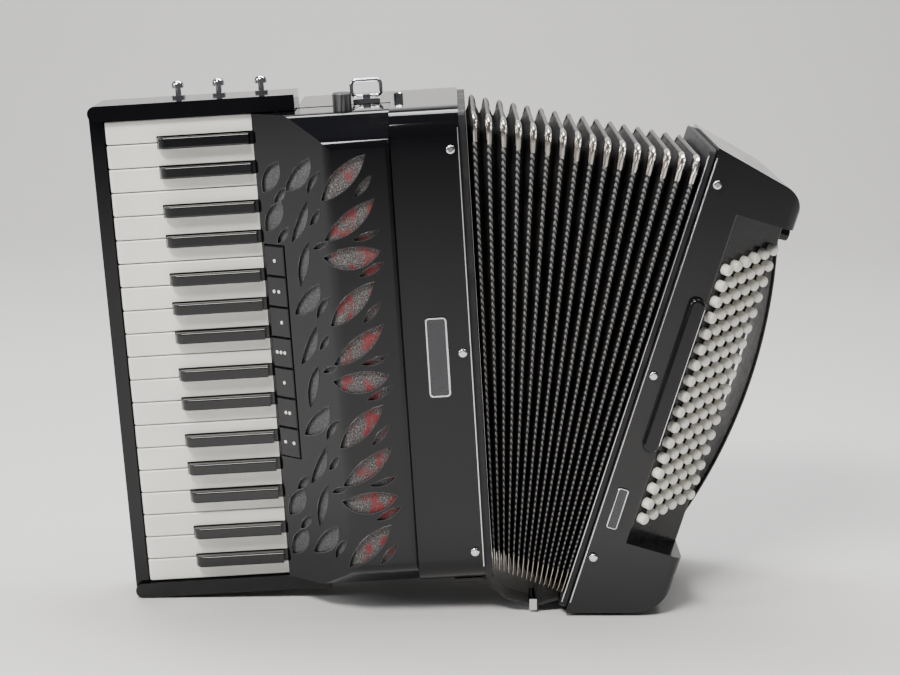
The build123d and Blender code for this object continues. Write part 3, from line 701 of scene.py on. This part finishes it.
def leaves():
    """The same leaves as are cut in the cover: tips and how far each side bows."""
    for row in range(LEAF_ROWS):
        z = LEAF_TOP - row * LEAF_PITCH
        if row % 3 == 0:
            yield (185, z - 18), (222, z + 17), 8, 8
            yield (211, z - 16), (226, z + 1), 2.5, 3.5
            yield (174, z - 13), (186, z + 6), 4, 1.5
            yield (155, z - 12), (178, z + 16), 4, 9
        if row % 3 == 1:
            yield (185, z - 16), (227, z + 16), 6, 9
            yield (207, z - 16), (229, z - 9), 1.5, 4
            yield (174, z - 5), (183, z + 9), 2, 3
            yield (157, z - 20), (173, z + 15), 2, 6
        if row % 3 == 2:
            yield (183, z + 4), (229, z + 8), 6, 12
            yield (210, z - 12), (231, z - 1), 2.5, 4
            yield (175, z + 10), (188, z + 17), 2, 2.5
            yield (162, z - 22), (172, z + 16), 5, 3
    for z in (354, 322, 82, 48):
        yield (136, z - 14), (151, z + 12), 6, 7
    for z in (338, 306, 99, 65):
        yield (145, z - 7), (156, z + 7), 3, 3


def leaf_rims():
    """A fine rounded rim round every leaf, where the cover's edge catches the light."""
    vertices, faces = [], []
    for tip_a, tip_b, bulge_a, bulge_b in leaves():
        outline = arc(tip_a, tip_b, bulge_a) + arc(tip_b, tip_a, bulge_b)
        centre = sum(outline, Vector((0, 0))) / len(outline)
        loops = []
        for spot in outline:
            inward = (centre - spot).normalized()
            loop = []
            for step in range(6):
                turn = step * pi / 3
                place = spot + inward * (0.35 * cos(turn))
                loop.append(cover_surface(place.x, place.y) + Vector((0, -0.00030 * sin(turn), 0)))
            loops.append(loop)
        more_vertices, more_faces = stitched(loops, ring=True)
        base = len(vertices)
        vertices += more_vertices
        faces += [tuple(base + index for index in face) for face in more_faces]
    piece = mesh_object("leaf_rims", vertices, faces, [RIM])
    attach(piece, "treble")


RIM = gloss("leaf_rim", (0.03, 0.03, 0.032), 0.12, 0.25, coat=1.0)
leaf_rims()


# ---- bass strap ---------------------------------------------------------------------------------
def bass_strap():
    """Padded leather hand strap: crowned across, with a raised rim and a line of stitches each side."""
    low, high, width = 74.0, 354.0, (25.0, 85.0)
    chord, bulge = (high - low) / 2, 22.0
    radius = (chord * chord + bulge * bulge) / (2 * bulge)
    outline = [
        (0.0, -1.9, -1.9), (0.6, -0.9, -2.9), (2.2, -0.35, -3.3), (4.2, -0.75, -3.4), (7.0, -0.45, -3.4),
        (18.0, -0.1, -3.4), (30.0, 0.0, -3.4), (42.0, -0.1, -3.4), (53.0, -0.45, -3.4), (55.8, -0.75, -3.4),
        (57.8, -0.35, -3.3), (59.4, -0.9, -2.9), (60.0, -1.9, -1.9),
    ]
    section = [(y, outer) for y, outer, _ in outline]
    section += [(y, inner) for y, _, inner in reversed(outline[1:-1])]
    spread = atan2(chord, radius - bulge)
    loops = []
    for step in range(49):
        turn = -spread + 2 * spread * step / 48
        loop = []
        for y, depth in section:
            r = radius + depth
            x = 78.4 + bulge - radius + r * cos(turn)
            loop.append(bass(max(x, 78.3), width[0] + y, 214 + r * sin(turn)))
        loops.append(loop)
    vertices, faces = stitched(loops)
    piece = mesh_object("bass_hand_strap", vertices, faces, [LEATHER])
    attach(piece, "bass")
    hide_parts("bass_strap")


bass_strap()


# ---- stage, light and camera --------------------------------------------------------------------
def stage_plane():
    """A pale floor that curves up into a backdrop far behind."""
    bend = [t * pi / 16 for t in range(9)]
    profile = [(-3.0, 0)] + [(1.6 + 0.9 * sin(t), 0.9 - 0.9 * cos(t)) for t in bend] + [(2.5, 4.0)]
    loops = [[(-5.0, y, z), (5.0, y, z)] for y, z in profile]
    vertices = [point for loop in loops for point in loop]
    faces = [(2 * n, 2 * n + 1, 2 * n + 3, 2 * n + 2) for n in range(len(loops) - 1)]
    mat, shader = material("stage_pale", (0.72, 0.71, 0.7), 0.75)
    mesh = bpy.data.meshes.new("floor")
    mesh.from_pydata(vertices, [], faces)
    mesh.materials.append(mat)
    floor = bpy.data.objects.new("floor", mesh)
    bpy.context.collection.objects.link(floor)
    for polygon in mesh.polygons:
        polygon.use_smooth = True


stage_plane()


def lamp(name, place, target, size, power, colour=(1, 1, 1)):
    light = bpy.data.lights.new(name, "AREA")
    light.shape = "RECTANGLE"
    light.size, light.size_y = size
    light.energy = power
    light.color = colour
    holder = bpy.data.objects.new(name, light)
    bpy.context.collection.objects.link(holder)
    holder.location = place
    holder.rotation_euler = (Vector(target) - Vector(place)).to_track_quat("-Z", "Y").to_euler()


lamp("key_light", (-0.7, -1.3, 2.0), (0, 0, 0.25), (0.9, 0.5), 60, (1.0, 0.97, 0.93))
lamp("top_strip", (0.1, 0.25, 1.7), (0, 0, 0.3), (1.8, 0.4), 36)
lamp("left_fill", (-2.2, -0.9, 1.2), (0, 0, 0.2), (0.5, 1.0), 24, (0.94, 0.96, 1.0))
lamp("backdrop_wash", (0.0, 1.0, 2.6), (0, 2.2, 0.5), (2.5, 0.6), 40)
world = bpy.data.worlds.new("studio")
world.use_nodes = True
world.node_tree.nodes["Background"].inputs["Color"].default_value = (0.75, 0.77, 0.8, 1)
world.node_tree.nodes["Background"].inputs["Strength"].default_value = 0.13
bpy.context.scene.world = world

PITCH, DISTANCE = radians(13.1), 1.617
camera_data = bpy.data.cameras.new("camera")
camera_data.lens = 78.7
camera_data.sensor_width = 36
camera = bpy.data.objects.new("camera", camera_data)
bpy.context.collection.objects.link(camera)
target = Vector((0.0059, SHIFT_Y / 1000, 0.2256))
camera.location = target + DISTANCE * Vector((0, -cos(PITCH), sin(PITCH)))
camera.rotation_euler = (pi / 2 - PITCH, 0, 0)
bpy.context.scene.camera = camera
